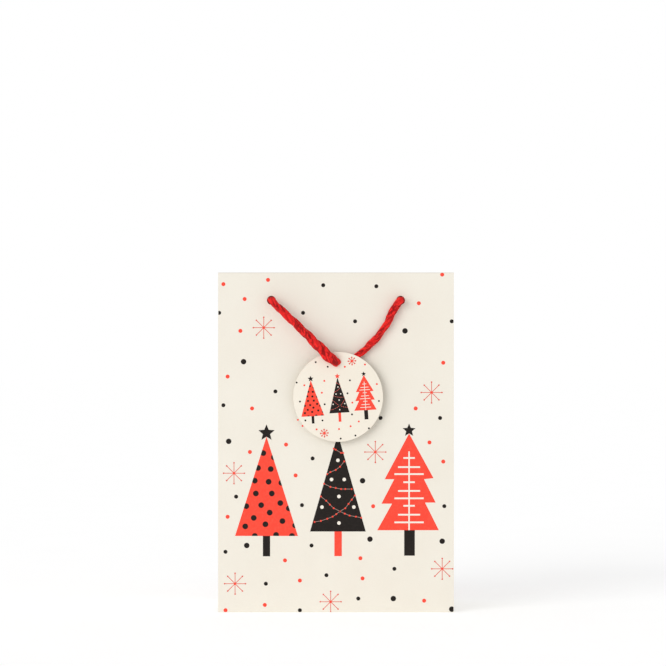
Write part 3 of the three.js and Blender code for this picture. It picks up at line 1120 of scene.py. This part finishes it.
def wall_print(wall, seed):
    """All of a wall's print, hem included, trimmed at the sheet's edges and bent with it."""
    rng = random.Random(seed)
    bm = bmesh.new()
    half, end = wall.half_span - EDGE_MARGIN, sheet_end(wall) - EDGE_MARGIN
    if wall.reach == HALF_WIDTH:
        half -= CORNER_MARGIN
    hem_reach = wall.hem_half_span - SNOWFLAKE - HEM_PRINT_MARGIN
    hem_low = (-hem_reach, fold_start(wall) + fold_length(wall) + HEM_PRINT_START)
    hem_high = (hem_reach, end - SNOWFLAKE - HEM_PRINT_MARGIN)
    if wall.reach == HALF_DEPTH:
        picture(bm)
        holes = [((x, hem_hole(wall)), KNOT_HIGH.x - HOLE_X) for x in (-HOLE_X, HOLE_X)]
        scatter(bm, rng, hem_low, hem_high, holes, FACE_HEM_MOTIFS)
        body = wall.name
    else:
        scatter(bm, rng, (-half, wall.low), (half, HEIGHT - GUSSET_PRINT_MARGIN), [], GUSSET_MOTIFS)
        scatter(bm, rng, hem_low, hem_high, [], GUSSET_HEM_MOTIFS)
        body = None
    cut(bm, (half, 0), (1, 0), clear=True)
    cut(bm, (-half, 0), (-1, 0), clear=True)
    cut(bm, (0, wall.low + EDGE_MARGIN), (0, -1), clear=True)
    cut_for_bending(bm, wall)
    lay_on(bm, wall)
    piece = finish_piece(bm, f"{wall.name}_print", INKS, body, wall=INK_THICKNESS)
    if body is None:
        bend_at_centre(piece)


# ---------------------------------------------------------------- the tag

TAG_LOW, TAG_HIGH = box_mm("tag")
TAG_RADIUS = (TAG_HIGH.x - TAG_LOW.x) / 2
TAG_THICKNESS = TAG_HIGH.y - TAG_LOW.y
TAG_HOLE_RADIUS = 1.9
TAG_HOLE_TO_CENTRE = (TAG_HOLE - (TAG_LOW + TAG_HIGH) / 2).length
TAG_TILT = math.radians(3.5)
TAG_PRINT_SCALE = 0.362
TAG_SPECK = 0.45
TAG_SNOWFLAKE = 1.7
TAG_EDGE_WEAR = 0.07

# Specks of the tag's print, across and up from its hole.
TAG_RED_SPECKS = [
    (4, -2.5), (13.5, -2), (-6, -8.5), (-15.5, -10), (-7.5, -14), (18.5, -11.5), (6.5, -19.5), (9, -28.5),
    (5, -30.5), (-0.5, -31.5), (-11, -31), (-17.5, -29), (-19.5, -26),
]
TAG_BLACK_SPECKS = [
    (-9.5, 0.5), (-4, -2), (-19, -8.5), (6, -9), (4.5, -15), (-18, -17.5), (-6.5, -19.5), (19, -19.5),
    (6, -25), (-8, -27), (-16, -26.5), (13.5, -32), (7, -35), (0, -36),
]


def hang_tag(bm):
    """Stands flat tag work up and hangs it from the cord, a little askew, its printed face to the front."""
    hang = Matrix.Translation(TAG_HOLE) @ Matrix.Rotation(-TAG_TILT, 4, "Y")
    bm.transform(hang @ Matrix.Rotation(math.pi / 2, 4, "X"))


def tag():
    """The card disc with its punched hole and its print."""
    bm = bmesh.new()
    centre = Matrix.Translation((0, -TAG_HOLE_TO_CENTRE, 0))
    bmesh.ops.create_circle(bm, segments=96, radius=TAG_RADIUS, matrix=centre)
    bmesh.ops.create_circle(bm, segments=32, radius=TAG_HOLE_RADIUS)
    bmesh.ops.triangle_fill(bm, use_beauty=True, use_dissolve=False, edges=bm.edges[:])
    bm.normal_update()
    bmesh.ops.reverse_faces(bm, faces=[face for face in bm.faces if face.normal.z < 0])
    bmesh.ops.translate(bm, verts=bm.verts, vec=(0, 0, TAG_THICKNESS / 2))
    hang_tag(bm)
    card = finish_piece(bm, "tag_card", [TAG_STOCK], "tag", ["tag"], wall=TAG_THICKNESS)
    soften = card.modifiers.new("worn_edge", "BEVEL")
    soften.width = TAG_EDGE_WEAR * MM
    soften.segments = 2
    soften.limit_method = "ANGLE"
    soften.angle_limit = math.radians(50)

    bm = bmesh.new()
    spotted_tree(bm, (-12.4, -24.7), TAG_PRINT_SCALE)
    garland_tree(bm, (0.2, -23.9), TAG_PRINT_SCALE)
    tiered_tree(bm, (12.6, -23.4), TAG_PRINT_SCALE)
    for places, ink in ((TAG_RED_SPECKS, RED), (TAG_BLACK_SPECKS, BLACK)):
        for place in places:
            dot(bm, place, TAG_SPECK, ink)
    for place in ((7.5, 0), (-7.5, -33)):
        snowflake(bm, place, TAG_SNOWFLAKE)
    bmesh.ops.triangulate(bm, faces=[face for face in bm.faces if len(face.verts) > 4])
    bmesh.ops.translate(bm, verts=bm.verts, vec=(0, 0, TAG_THICKNESS / 2))
    hang_tag(bm)
    ink = finish_piece(bm, "tag_print", INKS, "tag", wall=INK_THICKNESS)
    return card, ink


# ---------------------------------------------------------------- making the bag

FIRST_SEED = 11

set_camera()
front_loop, front_path = handle(
    "front_rope_loop", FRONT_ROUTE, -1, "front_handle", "front_handle_cord", FRONT_THICKNESS
)
back_loop, back_path = handle(
    "back_rope_loop", BACK_ROUTE, 1, "back_handle", "back_handle_cord", BACK_THICKNESS
)
tag_pieces = tag()
for side, wall_name in ((-1, "front"), (1, "back")):
    for hand, sign in (("left", side), ("right", -side)):
        knotted_end(
            f"{wall_name}_{hand}_rope_knot", sign * HOLE_X, side, wall_name, f"{wall_name}_{hand}_knot"
        )

for wall in (FRONT, BACK):
    paper_wall(wall, [f"{wall.name}_panel", f"{wall.name}_hem"])
for wall in (RIGHT, LEFT):
    halves = [f"{wall.name}_front", f"{wall.name}_back"]
    paper_wall(wall, [f"{half}_{layer}" for half in halves for layer in ("panel", "hem")])
glue_flap()
bottom()
for seed, wall in enumerate((FRONT, RIGHT, BACK, LEFT)):
    wall_print(wall, FIRST_SEED + seed)

for node in ("front_top_card", "back_top_card", "base_card"):
    frame["nodes"][node].data.materials.clear()
    frame["nodes"][node].data.materials.append(GREYBOARD)

set_stage()
